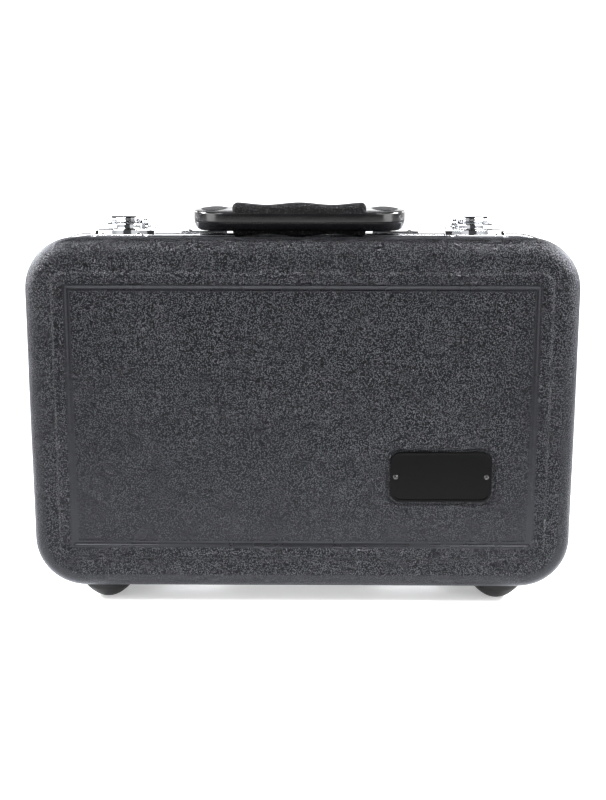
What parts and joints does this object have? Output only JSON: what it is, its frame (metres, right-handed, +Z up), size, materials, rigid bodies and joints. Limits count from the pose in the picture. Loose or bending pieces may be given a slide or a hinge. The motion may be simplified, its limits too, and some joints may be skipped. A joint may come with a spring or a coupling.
{
  "type": "oboe case",
  "caption": "Hard-shell oboe case with hinged lid, aluminium edge frames, chrome draw latches, folding handle, rubber feet and a padded interior shaped for the joints.",
  "frame": {"origin": "centre of the footprint, on the surface that the feet stand on", "axes": "+X to the right along the case's length, -Y out of the lid's face with the badge, +Z up to the handle; the lid and base part in the plane y = 0"},
  "size_m": [0.3382, 0.11, 0.2473],
  "materials": {
    "shell_plastic": "matte",
    "edge_aluminium": "satin",
    "foam_padding": "matte",
    "plush_lining": "matte",
    "badge_gloss": "gloss",
    "rivet_steel": "satin",
    "foot_rubber": "matte",
    "handle_plastic": "satin",
    "grip_rubber": "matte",
    "hardware_chrome": "polished"
  },
  "bodies": {
    "base": {"base_shell": "shell_plastic", "base_valance": "edge_aluminium", "base_foam_floor": "foam_padding", "base_foam_blocks": "foam_padding", "base_lining": "plush_lining", "foot_rear_left": "foot_rubber", "foot_rear_right": "foot_rubber", "foot_screws_base": "rivet_steel", "handle_bracket_left": "hardware_chrome", "handle_bracket_right": "hardware_chrome", "handle_bracket_left_rivets": "rivet_steel", "handle_bracket_right_rivets": "rivet_steel", "latch_left_base": "hardware_chrome", "latch_left_base_rivets": "rivet_steel", "latch_left_pivots": "rivet_steel", "hinge_left_base_leaf": "hardware_chrome", "hinge_left_base_rivets": "rivet_steel", "hinge_left_pin": "rivet_steel", "latch_right_base": "hardware_chrome", "latch_right_base_rivets": "rivet_steel", "latch_right_pivots": "rivet_steel", "hinge_right_base_leaf": "hardware_chrome", "hinge_right_base_rivets": "rivet_steel", "hinge_right_pin": "rivet_steel"},
    "lid": {"lid_shell": "shell_plastic", "lid_valance": "edge_aluminium", "lid_foam_floor": "foam_padding", "lid_foam_rails": "foam_padding", "lid_lining": "plush_lining", "badge_plate": "badge_gloss", "badge_rivets": "rivet_steel", "foot_front_left": "foot_rubber", "foot_front_right": "foot_rubber", "foot_screws_lid": "rivet_steel", "latch_left_catch": "hardware_chrome", "latch_left_catch_rivets": "rivet_steel", "hinge_left_lid_leaf": "hardware_chrome", "hinge_left_lid_rivets": "rivet_steel", "latch_right_catch": "hardware_chrome", "latch_right_catch_rivets": "rivet_steel", "hinge_right_lid_leaf": "hardware_chrome", "hinge_right_lid_rivets": "rivet_steel"},
    "handle": {"handle_frame_upper": "handle_plastic", "handle_frame_lower": "handle_plastic", "handle_grip": "grip_rubber", "handle_end_pads": "grip_rubber", "handle_pins": "rivet_steel", "handle_screws": "rivet_steel"},
    "latch_left_lever": {"latch_left_lever": "hardware_chrome", "latch_left_hook_pin": "rivet_steel"},
    "latch_left_hook": {"latch_left_hook": "hardware_chrome"},
    "latch_right_lever": {"latch_right_lever": "hardware_chrome", "latch_right_hook_pin": "rivet_steel"},
    "latch_right_hook": {"latch_right_hook": "hardware_chrome"}
  },
  "joints": [
    {"name": "lid_hinge", "type": "hinge", "parent": "base", "child": "lid", "pos_m": [0, 0, 0.00491], "axis": [1, 0, 0], "range_deg": [0, 110]},
    {"name": "handle_fold", "type": "hinge", "parent": "base", "child": "handle", "pos_m": [-0.002, 0.008, 0.23924], "axis": [-1, 0, 0], "range_deg": [0, 100]},
    {"name": "latch_left_lever_pivot", "type": "hinge", "parent": "base", "child": "latch_left_lever", "pos_m": [-0.1114, 0.008, 0.23454], "axis": [1, 0, 0], "range_deg": [0, 95]},
    {"name": "latch_left_hook_pivot", "type": "hinge", "parent": "latch_left_lever", "child": "latch_left_hook", "pos_m": [-0.1114, 0.015, 0.23424], "axis": [1, 0, 0], "range_deg": [-95, 0]},
    {"name": "latch_right_lever_pivot", "type": "hinge", "parent": "base", "child": "latch_right_lever", "pos_m": [0.1074, 0.008, 0.23454], "axis": [1, 0, 0], "range_deg": [0, 95]},
    {"name": "latch_right_hook_pivot", "type": "hinge", "parent": "latch_right_lever", "child": "latch_right_hook", "pos_m": [0.1074, 0.015, 0.23424], "axis": [1, 0, 0], "range_deg": [-95, 0]}
  ],
  "couplings": [
    {"joint": "latch_left_hook_pivot", "follows": "latch_left_lever_pivot", "ratio": -1},
    {"joint": "latch_right_hook_pivot", "follows": "latch_right_lever_pivot", "ratio": -1}
  ]
}
